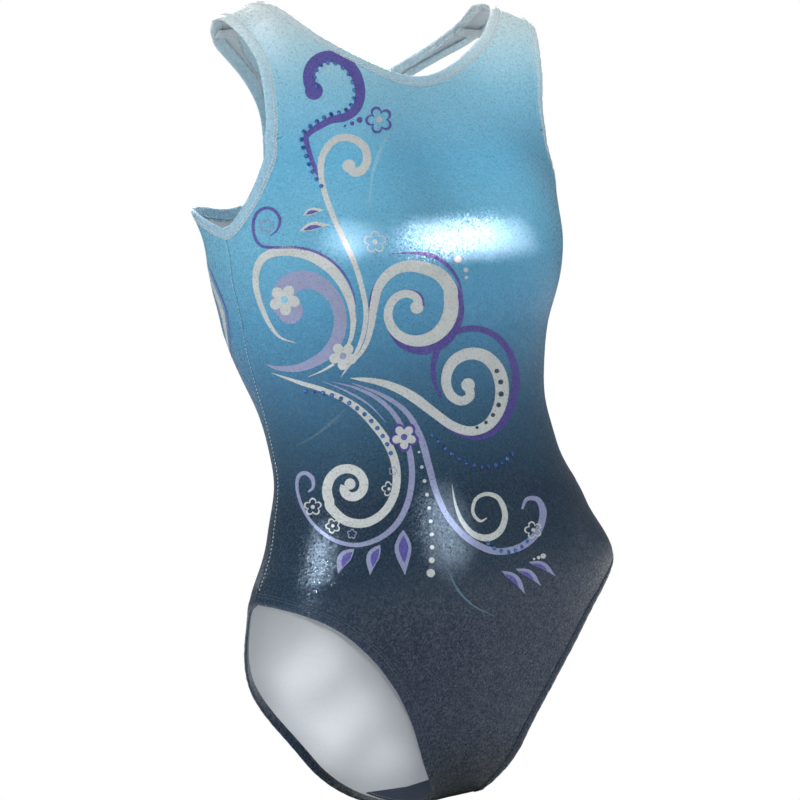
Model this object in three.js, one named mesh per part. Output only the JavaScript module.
// Sleeveless gymnastics leotard, filled out to the shape of a wearer.
// Millimetres, +Z up, -Y is the wearer's front, +X is the wearer's left.
// The origin is under the crotch, on the centre line; the shoulders are near z = 676.
//
// Every sewn piece follows one smooth torso surface, surfacePoint(alpha, level):
//   alpha  azimuth in degrees, 0 at the centre front, 180 at the centre back,
//          negative on the wearer's right
//   level  height; between LOW_HINGE.z and HIGH_HINGE.z it is simply z, above and below that
//          the surface is swept round two horizontal hinge lines, over the shoulders and
//          under the crotch
// Garment outlines and runs are lists of [alpha, level] points.
import * as THREE from "three";
import { mergeVertices } from "three/addons/utils/BufferGeometryUtils.js";

// ---------------------------------------------------------------- driving dimensions (mm)
const PANEL_T = 1.0; // lined shell fabric, outer face to inner face
const GAP = 0.3; // clearance between neighbouring pieces
const SEAM_GAP_ANGLE = 0.12; // each panel stops this many degrees short of the side seam
const SEAM_ANGLE = 93.8; // side seam azimuth
const TO_ORIGIN = [0, 7.754, 0.846]; // puts the origin at the middle of the bounding box's bottom

// Distances in a hem are measured in from the garment's edge; depths go down from the outer face.
const HEM = { width: 10, wall: 0.6, thickness: 3.2, fold: 1.4 }; // fold: solid part at the edge
const ELASTIC = { near: 2.0, far: 8.2, depth: 1.25, thickness: 0.7 };
const STITCH = { near: 6.4, far: 9.2, lift: 0.45, thickness: 0.4 }; // lift: height over the hem

// Inner pieces: `under` is the clearance below the panel's inner face.
const SIDE_ALLOWANCE = { width: 7, under: 1.0, thickness: 0.8 };
const SIDE_STITCHING = { width: 1.6, top: 0.85, bottom: 0.45 }; // heights over the outer face
const SIDE_STRIP_SETBACK = 4; // side seam strips stop short of the hems
const LINING = { under: 0.5, thickness: 0.6, frontRows: 5, backRows: 3 };
const CROTCH_ALLOWANCE = { width: 4.4, under: 2.0, thickness: 0.8, lift: 0.6, reach: 16, steps: 4 };
const TAPE = { length: 30, width: 9, thickness: 1.2, under: 1.3 }; // under: below the hem
const TAPE_SLOPE_SETBACK = 3; // the tape's tilt is taken this far in front of the shoulder seam
const LABEL = { width: 20, height: 14, thickness: 0.5, level: 566, under: 2.4, halfSpan: 6 };
const STONE = { width: 3.0, height: 1.3, topHalf: 0.28, base: 0.75 }; // topHalf: share of width
const GLUE = { halfWidth: 0.45, height: 0.3 }; // line joining the stones of a row

// ---------------------------------------------------------------- torso shape
// Columns: z, half width, depth to the front, depth to the back, centre y, squareness exponent.
const STATIONS = [
  [0, 165.7, 43.6, 74.3, 1.1, 2.3],
  [40, 168.6, 54.6, 84.7, -1.6, 2.3],
  [90, 173.3, 72.7, 96.2, -6.6, 2.31],
  [140, 173.1, 88.8, 97.6, -11.9, 2.27],
  [190, 176.7, 86.6, 87.3, -29.3, 2.29],
  [240, 152.7, 89.2, 74.4, -25.0, 2.31],
  [290, 135.8, 88.8, 64.2, -15.0, 2.24],
  [340, 134.6, 98.4, 72.1, -3.2, 2.21],
  [390, 141.1, 109.4, 103.1, -0.1, 2.33],
  [440, 153.0, 112.6, 122.7, -10.0, 2.37],
  [490, 163.2, 78.3, 123.4, -18.1, 2.42],
  [540, 181.4, 68.2, 109.0, -9.2, 2.39],
  [580, 186.7, 72.2, 90.0, -1.8, 2.89],
  [610, 194.2, 74.7, 64.0, 1.4, 3.34],
  [635, 199.9, 62.9, 41.0, -2.2, 3.68],
  [655, 177.9, 48.1, 24.0, -9.6, 3.55],
  [670, 139.4, 33.4, 13.0, -18.5, 3.26],
  [690, 69.9, 11.2, 6.0, -24.9, 2.8],
  [720, 19.6, 6.5, 4.0, -27.9, 2.45],
];
// Hinge lines run along X; `perRadian` is the change of level for a radian of sweep.
const HIGH_HINGE = { z: 560, y: 5, perRadian: 105 };
const LOW_HINGE = { z: 105, y: -22, perRadian: 95 };
const SWEEP_REACH = 260; // farther from a hinge than the surface ever is
const CROTCH_CLOSE = { height: 45, power: 2.5 }; // the torso closes towards z = 0
// Relief: x and z are the bump's centre, spreadX and spreadZ its standard deviations.
const BUST = { rise: 30, x: 72, z: 498, spreadX: 44, spreadZ: 46, below: 0.72, above: 1.25 };
const SEAT = { rise: 16, x: 78, z: 120, spreadX: 48, spreadZ: 52 };
const SPINE = { rise: -7, spreadX: 16, z: 400, spreadZ: 120 };
const RELIEF_FADE = 1.6; // how fast the relief comes in away from the centre plane
const SHOULDER = HIGH_HINGE.z + (HIGH_HINGE.perRadian * Math.PI) / 2; // shoulder seam level
const CROTCH = LOW_HINGE.z - (LOW_HINGE.perRadian * Math.PI) / 2; // crotch seam level

// ---------------------------------------------------------------- garment outlines
const LEG_FRONT = [
  [22.5, CROTCH], [24.3, -31], [28.2, -20.7], [31.4, -12.4], [34.6, -3], [38.3, 13.7],
  [42.3, 38.1], [46.5, 67], [50.8, 96.3], [54, 116], [57.3, 132], [62.1, 148],
  [68.5, 164], [74.5, 174.5], [80, 181.5], [87, 186.5], [93.8, 188.5],
];
const LEG_BACK = [
  [93.8, 188.5], [97.5, 184.5], [101, 175], [104.5, 158], [108.5, 138], [113.5, 118],
  [119.5, 98], [126, 80], [133, 62], [140, 44], [146, 26], [150.5, 8],
  [153.5, -12], [156, -30], [161.7, CROTCH],
];
const ARM_FRONT = [
  [93.8, 494], [89.5, 495.5], [85, 501.5], [80.8, 511], [78.2, 520], [74.8, 536],
  [72.1, 552], [71, 571], [70.7, 597], [71, 616.5], [71.7, 640.8], [73.1, 658],
  [74.8, 676], [74.6, 690], [73, 706], [70.8, SHOULDER],
];
const ARM_BACK = [
  [93.8, 494], [98, 500], [104, 509], [110, 516], [118, 520.5], [128, 521],
  [133.1, 520], [142.6, 521], [150.5, 527], [154.9, 540], [155.5, 557], [154.8, 576],
  [152.4, 597], [148.3, 619], [142.3, 643], [135, 668], [127.6, 690], [121.2, 708],
  [116.8, SHOULDER],
];
const NECK_FRONT = [
  [0, 615.5], [8, 616.3], [16, 618.5], [24.2, 622.5], [32.2, 628.6], [38.6, 634.9],
  [44.1, 641.3], [48.3, 647.3], [52, 653.1], [56.7, 664.1], [60.3, 675.1], [62.2, 686],
  [62.4, 697], [61.6, 711], [60, SHOULDER],
];
const NECK_BACK = [
  [180, 611], [175.5, 613], [169.9, 622], [163.4, 637], [156.3, 653], [148.3, 672],
  [141.1, 690], [134.6, 708], [130, SHOULDER],
];
// Steps along each edge of a panel half, and its columns as shares from the centre to the edge.
const ROWS = { leg: 13, seam: 12, arm: 15, neckFront: 9, neckBack: 6 };
const COLUMN_AT = [0, 0.17, 0.34, 0.51, 0.67, 0.82, 0.94, 1];
const LINING_COLUMN_AT = [0, 0.17, 0.34, 0.51, 0.67, 0.8];
// Centre-line levels matched to chosen rows of the panel's edge; `arm` lists further ones as
// [row counted from the armhole's foot, level].
const CENTRE_FRONT = { alpha: 0, legTop: 214, armFoot: 506, arm: [] };
const CENTRE_BACK = { alpha: 180, legTop: 196, armFoot: 446, arm: [[5, 505]] };
// Rows of stones on the front: a curl about `centre` whose radius (mm) and turn (degrees) go
// from the first value to the second, then an optional straight-sided tail of
// [sideways, up] mm from the centre.
const STONE_ROWS = {
  stones_shoulder_scroll: {
    count: 26, centre: [-54.5, 611], radius: [11, 30], turn: [196, -98],
    tail: [[-14, -35], [-23, -43], [-29, -55], [-31, -68], [-31, -82], [-28, -96]],
  },
  stones_waist_right: { count: 13, centre: [-72.5, 294], radius: [62, 62], turn: [88, 2] },
  stones_waist_left: { count: 13, centre: [5, 338], radius: [60, 60], turn: [206, 302] },
  stones_hip: { count: 7, centre: [7, 238], radius: [31, 31], turn: [218, 312] },
};
const CURL_STEP = 14; // largest turn between points of a curl, degrees

// ---------------------------------------------------------------- general maths
const clamp = (value, low, high) => Math.min(Math.max(value, low), high);
const radians = (degrees) => (degrees * Math.PI) / 180;
const cross = (first, second) => new THREE.Vector3().crossVectors(first, second);
const lift = (point, normal, height) => point.clone().addScaledVector(normal, height);
const mix = (from, to, share) => from.map((value, i) => value + (to[i] - value) * share);
const bell = (offset, spread) => Math.exp(-((offset / spread) ** 2) / 2);
function smoothStep(value) {
  const share = clamp(value, 0, 1);
  return share * share * (3 - 2 * share);
}
// piecewise cubic through (knots, values), held constant beyond the ends
function smoothCurve(knots, values) {
  const last = knots.length - 1;
  const spans = [];
  const slopes = [];
  for (let i = 0; i < last; i++) {
    spans.push(knots[i + 1] - knots[i]);
    slopes.push((values[i + 1] - values[i]) / spans[i]);
  }
  const tangents = [slopes[0]];
  for (let i = 1; i < last; i++) {
    const weighted = slopes[i - 1] * spans[i] + slopes[i] * spans[i - 1];
    tangents.push(weighted / (spans[i - 1] + spans[i]));
  }
  tangents.push(slopes[last - 1]);
  return (at) => {
    const held = clamp(at, knots[0], knots[last]);
    let i = 0;
    while (i < last - 1 && held >= knots[i + 1]) i++;
    const share = (held - knots[i]) / spans[i];
    const square = share * share;
    const cube = square * share;
    return (2 * cube - 3 * square + 1) * values[i]
      + (cube - 2 * square + share) * spans[i] * tangents[i]
      + (3 * square - 2 * cube) * values[i + 1]
      + (cube - square) * spans[i] * tangents[i + 1];
  };
}
// the value between low and high up to which `holds` is true
function bisect(low, high, steps, holds) {
  for (let i = 0; i < steps; i++) {
    const middle = (low + high) / 2;
    if (holds(middle)) low = middle;
    else high = middle;
  }
  return low;
}

// ---------------------------------------------------------------- torso surface
const stationZ = STATIONS.map((row) => row[0]);
const [halfWidth, depthFront, depthBack, centreY, squareness] = [1, 2, 3, 4, 5].map((column) =>
  smoothCurve(stationZ, STATIONS.map((row) => row[column])));

// share of the depth left as the torso closes at the crotch
function closing(z) {
  const { height, power } = CROTCH_CLOSE;
  const share = clamp((height - z) / height, 0, 1);
  return Math.max(1 - share ** power, 1e-9) ** (1 / power);
}
const depthAt = (isFront, z) => (isFront ? depthFront(z) : depthBack(z)) * closing(z);
// [x, y] of the horizontal section at z, for an azimuth in radians
function slicePoint(angle, z) {
  const power = squareness(z);
  const sine = Math.sin(angle);
  const cosine = Math.cos(angle);
  const acrossTerm = (Math.abs(sine) / halfWidth(z)) ** power;
  const depthTerm = (Math.abs(cosine) / depthAt(cosine > 0, z)) ** power;
  const radius = (acrossTerm + depthTerm) ** (-1 / power);
  return [radius * sine, centreY(z) - radius * cosine];
}
function isInside(x, y, z) {
  const power = squareness(z);
  const offset = y - centreY(z);
  const acrossTerm = (Math.abs(x) / Math.max(halfWidth(z), 1e-3)) ** power;
  const depthTerm = (Math.abs(offset) / Math.max(depthAt(offset < 0, z), 1e-3)) ** power;
  return acrossTerm + depthTerm < 1;
}
const twinBump = (bump, x, z, spreadZ) =>
  bump.rise * (bell(x - bump.x, bump.spreadX) + bell(x + bump.x, bump.spreadX))
  * bell(z - bump.z, spreadZ);
// y with the bust, seat and spine added
function addRelief(x, y, z) {
  const offset = y - centreY(z);
  const frontShare = smoothStep((-RELIEF_FADE * offset) / depthFront(z));
  const backShare = smoothStep((RELIEF_FADE * offset) / depthBack(z));
  const bustSpread = BUST.spreadZ * (z < BUST.z ? BUST.below : BUST.above);
  const bust = twinBump(BUST, x, z, bustSpread);
  const seat = twinBump(SEAT, x, z, SEAT.spreadZ);
  const spine = SPINE.rise * bell(x, SPINE.spreadX) * bell(z - SPINE.z, SPINE.spreadZ);
  return y - frontShare * bust + backShare * (seat + spine);
}
function surfacePoint(alpha, level) {
  const side = alpha < 0 ? -1 : 1;
  let z = clamp(level, LOW_HINGE.z, HIGH_HINGE.z);
  let [x, y] = slicePoint(radians(Math.abs(alpha)), z);
  if (level !== z) {
    const hinge = level > z ? HIGH_HINGE : LOW_HINGE;
    const turn = Math.abs(level - z) / hinge.perRadian;
    const stepY = (y < hinge.y ? -1 : 1) * Math.cos(turn);
    const stepZ = Math.sin(turn) * Math.sign(level - z);
    const distance = bisect(0, SWEEP_REACH, 44, (reach) =>
      isInside(x, hinge.y + stepY * reach, hinge.z + stepZ * reach));
    y = hinge.y + stepY * distance;
    z = hinge.z + stepZ * distance;
  }
  return new THREE.Vector3(side * x, addRelief(x, y, z), z);
}
// derivatives by alpha and by level, and the outward normal
function frameAt(alpha, level) {
  const alphaStep = 0.4;
  const levelStep = 0.8;
  // no step is taken across the centre line
  const before = Math.abs(alpha) < alphaStep ? alpha : alpha - alphaStep;
  const after = alpha + alphaStep;
  const byAlpha = surfacePoint(after, level).sub(surfacePoint(before, level))
    .multiplyScalar(1 / (after - before));
  const byLevel = surfacePoint(alpha, level + levelStep)
    .sub(surfacePoint(alpha, level - levelStep))
    .multiplyScalar(0.5 / levelStep);
  return { byAlpha, byLevel, normal: cross(byAlpha, byLevel).normalize() };
}

// a run resampled to `count` steps of equal length on the surface
function resample(points, count) {
  const mmPerDegree = 2.2; // rough, only spaces the knots
  const samples = 160;
  const knots = [0];
  for (let i = 1; i < points.length; i++) {
    const [alpha, level] = points[i];
    const [lastAlpha, lastLevel] = points[i - 1];
    const step = Math.hypot((alpha - lastAlpha) * mmPerDegree, level - lastLevel);
    knots.push(knots[i - 1] + step);
  }
  const curves = [0, 1].map((axis) => smoothCurve(knots, points.map((point) => point[axis])));
  const fine = [];
  const lengths = [0];
  for (let i = 0; i <= samples; i++) {
    const at = (knots[knots.length - 1] * i) / samples;
    fine.push(curves.map((curve) => curve(at)));
    if (i === 0) continue;
    const step = surfacePoint(...fine[i]).distanceTo(surfacePoint(...fine[i - 1]));
    lengths.push(lengths[i - 1] + step);
  }
  const run = [];
  for (let j = 0; j <= count; j++) {
    const target = (lengths[samples] * j) / count;
    let i = 0;
    while (i < samples - 1 && lengths[i + 1] < target) i++;
    const share = (target - lengths[i]) / Math.max(lengths[i + 1] - lengths[i], 1e-9);
    run.push(mix(fine[i], fine[i + 1], share));
  }
  return run;
}

// ---------------------------------------------------------------- openings
// Stations round a closed edge, each with its inward step per mm in alpha and level.
// `seams` marks the stations on a seam, where the step runs along the seam: by alpha or level.
function ringStations(run, inwardSign, seams) {
  const points = run.map((at) => surfacePoint(...at));
  const count = run.length;
  return run.map(([alpha, level], i) => {
    const tangent = points[(i + 1) % count].clone().sub(points[(i + count - 1) % count]);
    const { byAlpha, byLevel, normal } = frameAt(alpha, level);
    const inward = cross(normal, tangent.normalize()).normalize().multiplyScalar(inwardSign);
    // solve for the inward step in terms of alpha and level
    const alphaSquare = byAlpha.dot(byAlpha);
    const levelSquare = byLevel.dot(byLevel);
    const mixed = byAlpha.dot(byLevel);
    const determinant = alphaSquare * levelSquare - mixed * mixed;
    const onAlpha = inward.dot(byAlpha);
    const onLevel = inward.dot(byLevel);
    let alphaStep = (onAlpha * levelSquare - onLevel * mixed) / determinant;
    let levelStep = (onLevel * alphaSquare - onAlpha * mixed) / determinant;
    if (seams[i] === "alpha") {
      alphaStep = Math.sign(alphaStep) / Math.sqrt(alphaSquare);
      levelStep = 0;
    } else if (seams[i] === "level") {
      alphaStep = 0;
      levelStep = Math.sign(levelStep) / Math.sqrt(levelSquare);
    }
    return { alpha, level, normal, alphaStep, levelStep };
  });
}
// [alpha, level] at `distance` in from the edge
const inset = (station, distance) => [
  station.alpha + station.alphaStep * distance,
  station.level + station.levelStep * distance,
];

const legFront = resample(LEG_FRONT, ROWS.leg);
const legBack = resample(LEG_BACK, ROWS.leg);
const armFront = resample(ARM_FRONT, ROWS.arm);
const armBack = resample(ARM_BACK, ROWS.arm);
const neckFront = resample(NECK_FRONT, ROWS.neckFront);
const neckBack = resample(NECK_BACK, ROWS.neckBack);

const legRing = [...legFront, ...legBack.slice(1, -1)];
const armRing = [...armFront, ...armBack.slice(1, -1).reverse()];
const neckHalf = [...neckFront, ...neckBack.slice(0, -1).reverse()];
const neckMirrored = neckHalf.slice(1, -1).reverse().map(([alpha, level]) => [-alpha, level]);
const neckRing = [...neckHalf, ...neckMirrored];
const neckBackCentre = neckHalf.length - 1;

const legStations = ringStations(legRing, 1, { 0: "alpha", [ROWS.leg]: "level" });
const armStations = ringStations(armRing, 1, { 0: "level", [ROWS.arm]: "alpha" });
const neckStations = ringStations(neckRing, -1, {
  0: "level",
  [ROWS.neckFront]: "alpha",
  [neckBackCentre]: "level",
  [neckRing.length - ROWS.neckFront]: "alpha",
});

// ---------------------------------------------------------------- mesh helpers
const quad = (a, b, c, d) => [[a, b, c], [a, c, d]];
function signedVolume(vertices, faces) {
  let total = 0;
  for (const [i, j, k] of faces) total += vertices[i].dot(cross(vertices[j], vertices[k]));
  return total / 6;
}
// a closed mesh with its faces outward
function closedSolid(vertices, faces) {
  const inverted = signedVolume(vertices, faces) < 0;
  const outward = inverted ? faces.map(([i, j, k]) => [i, k, j]) : faces;
  const coordinates = vertices.flatMap((point) => [point.x, point.y, point.z]);
  const geometry = new THREE.BufferGeometry();
  geometry.setAttribute("position", new THREE.Float32BufferAttribute(coordinates, 3));
  geometry.setIndex(outward.flat());
  return mergeVertices(geometry, 1e-3);
}
// Joins equal-length loops of points; a closed sweep joins the last to the first,
// an open one has four-sided sections and flat ends.
function sweep(sections, closed) {
  const size = sections[0].length;
  const count = sections.length;
  const faces = [];
  for (let i = 0; i < (closed ? count : count - 1); i++) {
    const here = i * size;
    const next = ((i + 1) % count) * size;
    for (let j = 0; j < size; j++) {
      const k = (j + 1) % size;
      faces.push(...quad(here + j, here + k, next + k, next + j));
    }
  }
  if (!closed) {
    const end = (count - 1) * size;
    faces.push(...quad(0, 3, 2, 1), ...quad(end, end + 1, end + 2, end + 3));
  }
  return closedSolid(sections.flat(), faces);
}
// Faces of a sheet from two grids of vertex numbers. Rows below `firstInnerWall` have no wall
// on the first column.
function sheetFaces(outer, inner, firstInnerWall = 0) {
  const faces = [];
  const last = outer.length - 1;
  const edge = outer[0].length - 1;
  for (let r = 0; r < last; r++) {
    const up = r + 1;
    for (let k = 0; k < edge; k++) {
      faces.push(...quad(outer[r][k], outer[r][k + 1], outer[up][k + 1], outer[up][k]));
      faces.push(...quad(inner[r][k], inner[up][k], inner[up][k + 1], inner[r][k + 1]));
    }
    faces.push(...quad(outer[r][edge], inner[r][edge], inner[up][edge], outer[up][edge]));
    if (r < firstInnerWall) continue;
    faces.push(...quad(outer[r][0], outer[up][0], inner[up][0], inner[r][0]));
  }
  for (let k = 0; k < edge; k++) {
    faces.push(...quad(outer[0][k], inner[0][k], inner[0][k + 1], outer[0][k + 1]));
    faces.push(...quad(outer[last][k], outer[last][k + 1], inner[last][k + 1], inner[last][k]));
  }
  return faces;
}
function mirrorX(geometry) {
  const mirrored = geometry.clone();
  const position = mirrored.attributes.position;
  const index = mirrored.index.array;
  for (let i = 0; i < position.count; i++) position.setX(i, -position.getX(i));
  for (let i = 0; i < index.length; i += 3) {
    [index[i + 1], index[i + 2]] = [index[i + 2], index[i + 1]];
  }
  return mirrored;
}
const flipX = (point) => new THREE.Vector3(-point.x, point.y, point.z);
// a box whose sides lie along three given axes
function placedBox(size, axes, centre) {
  const geometry = new THREE.BoxGeometry(...size);
  geometry.deleteAttribute("normal");
  geometry.deleteAttribute("uv");
  geometry.applyMatrix4(new THREE.Matrix4().makeBasis(...axes).setPosition(centre));
  return mergeVertices(geometry, 1e-3);
}
// An open sweep along a run; sectionAt(i) lists its four corners as
// [sideways, height over the surface].
function ribbon(run, sectionAt) {
  const points = run.map((at) => surfacePoint(...at));
  const sections = run.map(([alpha, level], i) => {
    const { normal } = frameAt(alpha, level);
    const after = points[Math.min(i + 1, points.length - 1)];
    const tangent = after.clone().sub(points[Math.max(i - 1, 0)]).normalize();
    const sideways = cross(normal, tangent).normalize();
    return sectionAt(i).map(([across, height]) =>
      lift(points[i], normal, height).addScaledVector(sideways, across));
  });
  return sweep(sections, false);
}
function strip(run, width, top, bottom) {
  const half = width / 2;
  return ribbon(run, () => [[-half, top], [half, top], [half, bottom], [-half, bottom]]);
}
// a strip below the panel's inner face
function innerStrip(run, { width, under, thickness }) {
  return strip(run, width, -PANEL_T - under, -PANEL_T - under - thickness);
}

// ---------------------------------------------------------------- hems
// Sections as [distance in from the edge, height over the outer face].
const HEM_SECTION = [
  [0, 0],
  [HEM.width, 0],
  [HEM.width, -HEM.wall],
  [HEM.fold, -HEM.wall],
  [HEM.fold, HEM.wall - HEM.thickness],
  [HEM.width, HEM.wall - HEM.thickness],
  [HEM.width, -HEM.thickness],
  [0, -HEM.thickness],
];
const bandSection = (near, far, first, second) =>
  [[near, first], [far, first], [far, second], [near, second]];
const ELASTIC_SECTION = bandSection(
  ELASTIC.near, ELASTIC.far, -ELASTIC.depth, -ELASTIC.depth - ELASTIC.thickness);
const STITCH_SECTION = bandSection(
  STITCH.near, STITCH.far, STITCH.lift, STITCH.lift + STITCH.thickness);

// a section carried round an opening, flat across the hem's width
function band(stations, section) {
  const sections = stations.map((station) => {
    const edge = surfacePoint(...inset(station, 0));
    const far = surfacePoint(...inset(station, HEM.width));
    return section.map(([distance, height]) =>
      edge.clone().lerp(far, distance / HEM.width).addScaledVector(station.normal, height));
  });
  return sweep(sections, true);
}

// ---------------------------------------------------------------- front and back panels
const PANEL_INSET = HEM.width + GAP;

// azimuth on the back with the same x as a front point, at the shoulder or crotch seam
function backAngle(x, level) {
  const z = clamp(level, LOW_HINGE.z, HIGH_HINGE.z);
  return bisect(95, 180, 50, (alpha) => slicePoint(radians(alpha), z)[0] > x);
}
// a panel's corner where a hem meets the shoulder or crotch seam
function seamCorner(isFront, station, level) {
  const [alpha] = inset(station, PANEL_INSET);
  return [isFront ? alpha : backAngle(surfacePoint(alpha, level).x, level), level];
}
// the edge along the leg, side seam and armhole, from the crotch up
function outerEdge(isFront) {
  const { leg, seam, arm } = ROWS;
  const gapAngle = isFront ? -SEAM_GAP_ANGLE : SEAM_GAP_ANGLE;
  const edgePoint = (stations, i) =>
    inset(stations[isFront ? i : stations.length - i], PANEL_INSET);
  const low = inset(legStations[leg], PANEL_INSET);
  const high = inset(armStations[0], PANEL_INSET);
  const points = [seamCorner(isFront, legStations[0], CROTCH)];
  for (let i = 1; i < leg; i++) points.push(edgePoint(legStations, i));
  points.push([low[0] + gapAngle, low[1]]);
  for (let i = 1; i < seam; i++) {
    points.push([SEAM_ANGLE + gapAngle, low[1] + ((high[1] - low[1]) * i) / seam]);
  }
  points.push([high[0] + gapAngle, high[1]]);
  for (let i = 1; i < arm; i++) points.push(edgePoint(armStations, i));
  points.push(seamCorner(isFront, armStations[arm], SHOULDER));
  return points;
}
// the edge up the centre line and then along the neck
function innerEdge(isFront, centreRows) {
  const { leg, seam } = ROWS;
  const neckRows = isFront ? ROWS.neckFront : ROWS.neckBack;
  const { alpha, legTop, armFoot, arm } = isFront ? CENTRE_FRONT : CENTRE_BACK;
  const neckPoint = (i) => inset(neckStations[isFront ? i : neckBackCentre - i], PANEL_INSET);
  const knots = [
    [0, CROTCH],
    [leg, legTop],
    [leg + seam, armFoot],
    ...arm.map(([row, level]) => [leg + seam + row, level]),
    [centreRows, neckPoint(0)[1]],
  ];
  const points = [];
  for (let i = 0; i < knots.length - 1; i++) {
    const [fromRow, from] = knots[i];
    const [toRow, to] = knots[i + 1];
    const line = [[alpha, from], [alpha, (from + to) / 2], [alpha, to]];
    points.push(...resample(line, toRow - fromRow).slice(i ? 1 : 0));
  }
  for (let i = 1; i < neckRows; i++) points.push(neckPoint(i));
  points.push(seamCorner(isFront, neckStations[ROWS.neckFront], SHOULDER));
  return points;
}
// rows of one panel half; up to centreRows they start on the centre line
function panelRows(isFront) {
  const last = ROWS.leg + ROWS.seam + ROWS.arm;
  const centreRows = last - (isFront ? ROWS.neckFront : ROWS.neckBack);
  const outer = outerEdge(isFront);
  const inner = innerEdge(isFront, centreRows);
  // panels stop short of the crotch and shoulder seams
  for (const edge of [outer, inner]) {
    edge[0][1] += GAP;
    edge[last][1] -= GAP;
  }
  return { outer, inner, centreRows };
}
// the outer and inner point of a sheet lying at two depths below the surface
function layerPoints([alpha, level], depths, onCentre) {
  const point = surfacePoint(alpha, level);
  const { normal } = frameAt(alpha, level);
  if (onCentre) {
    point.x = 0;
    normal.x = 0;
    normal.normalize();
  }
  return depths.map((depth) => lift(point, normal, -depth));
}
// one half is meshed and mirrored, sharing the centre line's vertices
function panel({ outer, inner, centreRows }) {
  const vertices = [];
  const grids = [[], []];
  outer.forEach((edgePoint, r) => {
    for (const grid of grids) grid.push([]);
    for (const share of COLUMN_AT) {
      const onCentre = share === 0 && r <= centreRows;
      layerPoints(mix(inner[r], edgePoint, share), [0, PANEL_T], onCentre)
        .forEach((point, i) => grids[i][r].push(vertices.push(point) - 1));
    }
  });
  const faces = sheetFaces(...grids, centreRows);
  const offset = vertices.length;
  const mirrored = faces.map(([a, b, c]) => [a + offset, c + offset, b + offset]);
  return closedSolid([...vertices, ...vertices.map(flipX)], [...faces, ...mirrored]);
}
const frontRows = panelRows(true);
const backRows = panelRows(false);

// ---------------------------------------------------------------- small sewn pieces
// a patch inside the crotch, following the panels' own rows
function crotchLining() {
  const path = [];
  const addRow = ({ inner, outer }, r) => path.push([inner[r], outer[r]]);
  for (let r = LINING.frontRows; r >= 0; r--) addRow(frontRows, r);
  for (let r = 1; r <= LINING.backRows; r++) addRow(backRows, r);
  const top = PANEL_T + LINING.under;
  const depths = [top, top + LINING.thickness];
  const vertices = [];
  const grids = [[], []];
  for (const [inner, outer] of path) {
    const half = LINING_COLUMN_AT.map((share) =>
      layerPoints(mix(inner, outer, share), depths, share === 0));
    const line = [...half.slice(1).reverse().map((layers) => layers.map(flipX)), ...half];
    grids.forEach((grid, i) => grid.push(line.map((layers) => vertices.push(layers[i]) - 1)));
  }
  return closedSolid(vertices, sheetFaces(...grids));
}
function crotchSeamRun() {
  const { reach, steps, lift: rise } = CROTCH_ALLOWANCE;
  const run = [];
  for (let k = -steps; k <= steps; k++) run.push([(reach * k) / steps, CROTCH + rise]);
  return run;
}
function sideSeamRun() {
  const run = frontRows.outer.slice(ROWS.leg, ROWS.leg + ROWS.seam + 1)
    .map(([, level]) => [SEAM_ANGLE, level]);
  run[0][1] += SIDE_STRIP_SETBACK;
  run[ROWS.seam][1] -= SIDE_STRIP_SETBACK;
  return run;
}
// under the left strap, along the shoulder seam and tilted with the strap
function shoulderTape() {
  const [neckAlpha] = neckFront[ROWS.neckFront];
  const [armAlpha] = armFront[ROWS.arm];
  const middleAlpha = (neckAlpha + armAlpha) / 2;
  const along = surfacePoint(armAlpha, SHOULDER).sub(surfacePoint(neckAlpha, SHOULDER));
  along.setY(0).normalize();
  const slope = frameAt(middleAlpha, SHOULDER - TAPE_SLOPE_SETBACK).normal;
  const normal = lift(slope, along, -slope.dot(along)).normalize();
  const across = cross(normal, along).normalize();
  const depth = HEM.thickness + TAPE.under + TAPE.thickness / 2;
  const centre = lift(surfacePoint(middleAlpha, SHOULDER), normal, -depth);
  return placedBox([TAPE.length, TAPE.width, TAPE.thickness], [along, across, normal], centre);
}
// blank label inside the centre back
function careLabel() {
  const { level, halfSpan } = LABEL;
  const up = surfacePoint(180, level + halfSpan).sub(surfacePoint(180, level - halfSpan));
  up.normalize();
  const across = new THREE.Vector3(1, 0, 0);
  const outward = cross(up, across).normalize();
  const centre = lift(surfacePoint(180, level), outward, -PANEL_T - LABEL.under);
  return placedBox([LABEL.width, LABEL.thickness, LABEL.height], [across, outward, up], centre);
}

// ---------------------------------------------------------------- stones
function curl({ centre: [alpha, level], radius, turn, tail = [] }) {
  const mmPerDegree = surfacePoint(alpha + 0.5, level).distanceTo(surfacePoint(alpha - 0.5, level));
  const steps = Math.ceil(Math.abs(turn[1] - turn[0]) / CURL_STEP);
  const offsets = [];
  for (let i = 0; i <= steps; i++) {
    const angle = radians(turn[0] + ((turn[1] - turn[0]) * i) / steps);
    const reach = radius[0] + ((radius[1] - radius[0]) * i) / steps;
    offsets.push([reach * Math.cos(angle), reach * Math.sin(angle)]);
  }
  return [...offsets, ...tail].map(([sideways, up]) => [alpha + sideways / mmPerDegree, level + up]);
}
// three sections to a stone: the middle one is the stone, the others the glue line
function stoneRow(row) {
  return ribbon(resample(curl(row), row.count * 3 - 1), (i) => {
    const isStone = i % 3 === 1;
    const half = isStone ? STONE.width / 2 : GLUE.halfWidth;
    const topHalf = isStone ? STONE.width * STONE.topHalf : GLUE.halfWidth;
    const top = STONE.base + (isStone ? STONE.height : GLUE.height);
    return [[-topHalf, top], [topHalf, top], [half, STONE.base], [-half, STONE.base]];
  });
}

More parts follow.
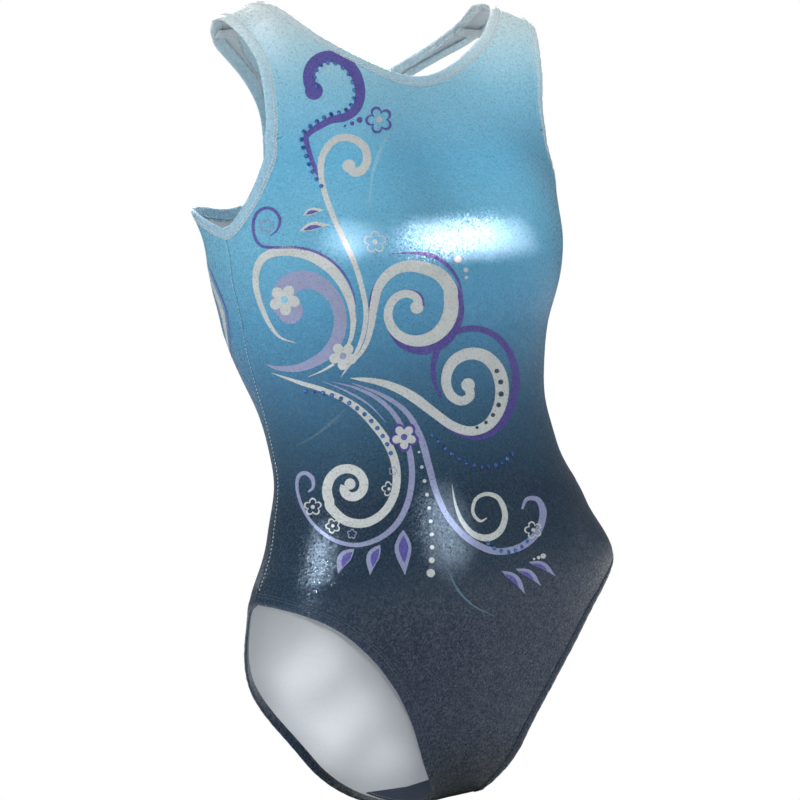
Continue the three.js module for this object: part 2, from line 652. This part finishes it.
// ---------------------------------------------------------------- materials
const MATERIALS = {
  foilAqua: { color: 0x4f9bc0, roughness: 0.38, metalness: 0.45 },
  foilPale: { color: 0xa9cbd8, roughness: 0.38, metalness: 0.45 },
  foilNavy: { color: 0x3a4a60, roughness: 0.38, metalness: 0.45 },
  elastic: { color: 0xe8e6df, roughness: 0.85, metalness: 0 },
  threadPale: { color: 0xb9d6df, roughness: 0.7, metalness: 0 },
  threadNavy: { color: 0x2c3d4d, roughness: 0.7, metalness: 0 },
  threadSide: { color: 0x9fc4d2, roughness: 0.7, metalness: 0 },
  sideAllowance: { color: 0x3f6d86, roughness: 0.8, metalness: 0.1 },
  crotchAllowance: { color: 0x2b3442, roughness: 0.8, metalness: 0.1 },
  lining: { color: 0x39465a, roughness: 0.9, metalness: 0 },
  stone: { color: 0x1d3f7c, roughness: 0.08, metalness: 0.3 },
  label: { color: 0xf1f1ee, roughness: 0.6, metalness: 0 },
  tape: { color: 0xdfe6e8, roughness: 0.4, metalness: 0 },
};
const makeMaterial = (name) =>
  new THREE.MeshStandardMaterial({ ...MATERIALS[name], side: THREE.DoubleSide });

// ---------------------------------------------------------------- assembly
const leotard = new THREE.Group();
function add(name, geometry, material) {
  const mesh = new THREE.Mesh(geometry, makeMaterial(material));
  mesh.name = name;
  mesh.position.set(...TO_ORIGIN);
  leotard.add(mesh);
}
function addPair(name, leftGeometry, material) {
  add(`${name}_left`, leftGeometry, material);
  add(`${name}_right`, mirrorX(leftGeometry), material);
}

add("front_panel", panel(frontRows), "foilAqua");
add("back_panel", panel(backRows), "foilAqua");

// columns: part, section, material at the neck and armholes, material at the legs
const HEM_LAYERS = [
  ["hem", HEM_SECTION, "foilPale", "foilNavy"],
  ["elastic", ELASTIC_SECTION, "elastic", "elastic"],
  ["coverstitch", STITCH_SECTION, "threadPale", "threadNavy"],
];
for (const [part, section, upperMaterial, legMaterial] of HEM_LAYERS) {
  add(`neck_${part}`, band(neckStations, section), upperMaterial);
  addPair(`armhole_${part}`, band(armStations, section), upperMaterial);
  addPair(`leg_${part}`, band(legStations, section), legMaterial);
}

const sideRun = sideSeamRun();
const { width: stitchWidth, top: stitchTop, bottom: stitchBottom } = SIDE_STITCHING;
addPair("side_seam_allowance", innerStrip(sideRun, SIDE_ALLOWANCE), "sideAllowance");
addPair("side_seam_stitching", strip(sideRun, stitchWidth, stitchTop, stitchBottom), "threadSide");
addPair("shoulder_stay_tape", shoulderTape(), "tape");
add("crotch_lining", crotchLining(), "lining");
add("crotch_seam_allowance", innerStrip(crotchSeamRun(), CROTCH_ALLOWANCE), "crotchAllowance");
add("care_label", careLabel(), "label");
for (const [name, row] of Object.entries(STONE_ROWS)) add(name, stoneRow(row), "stone");

export default leotard;
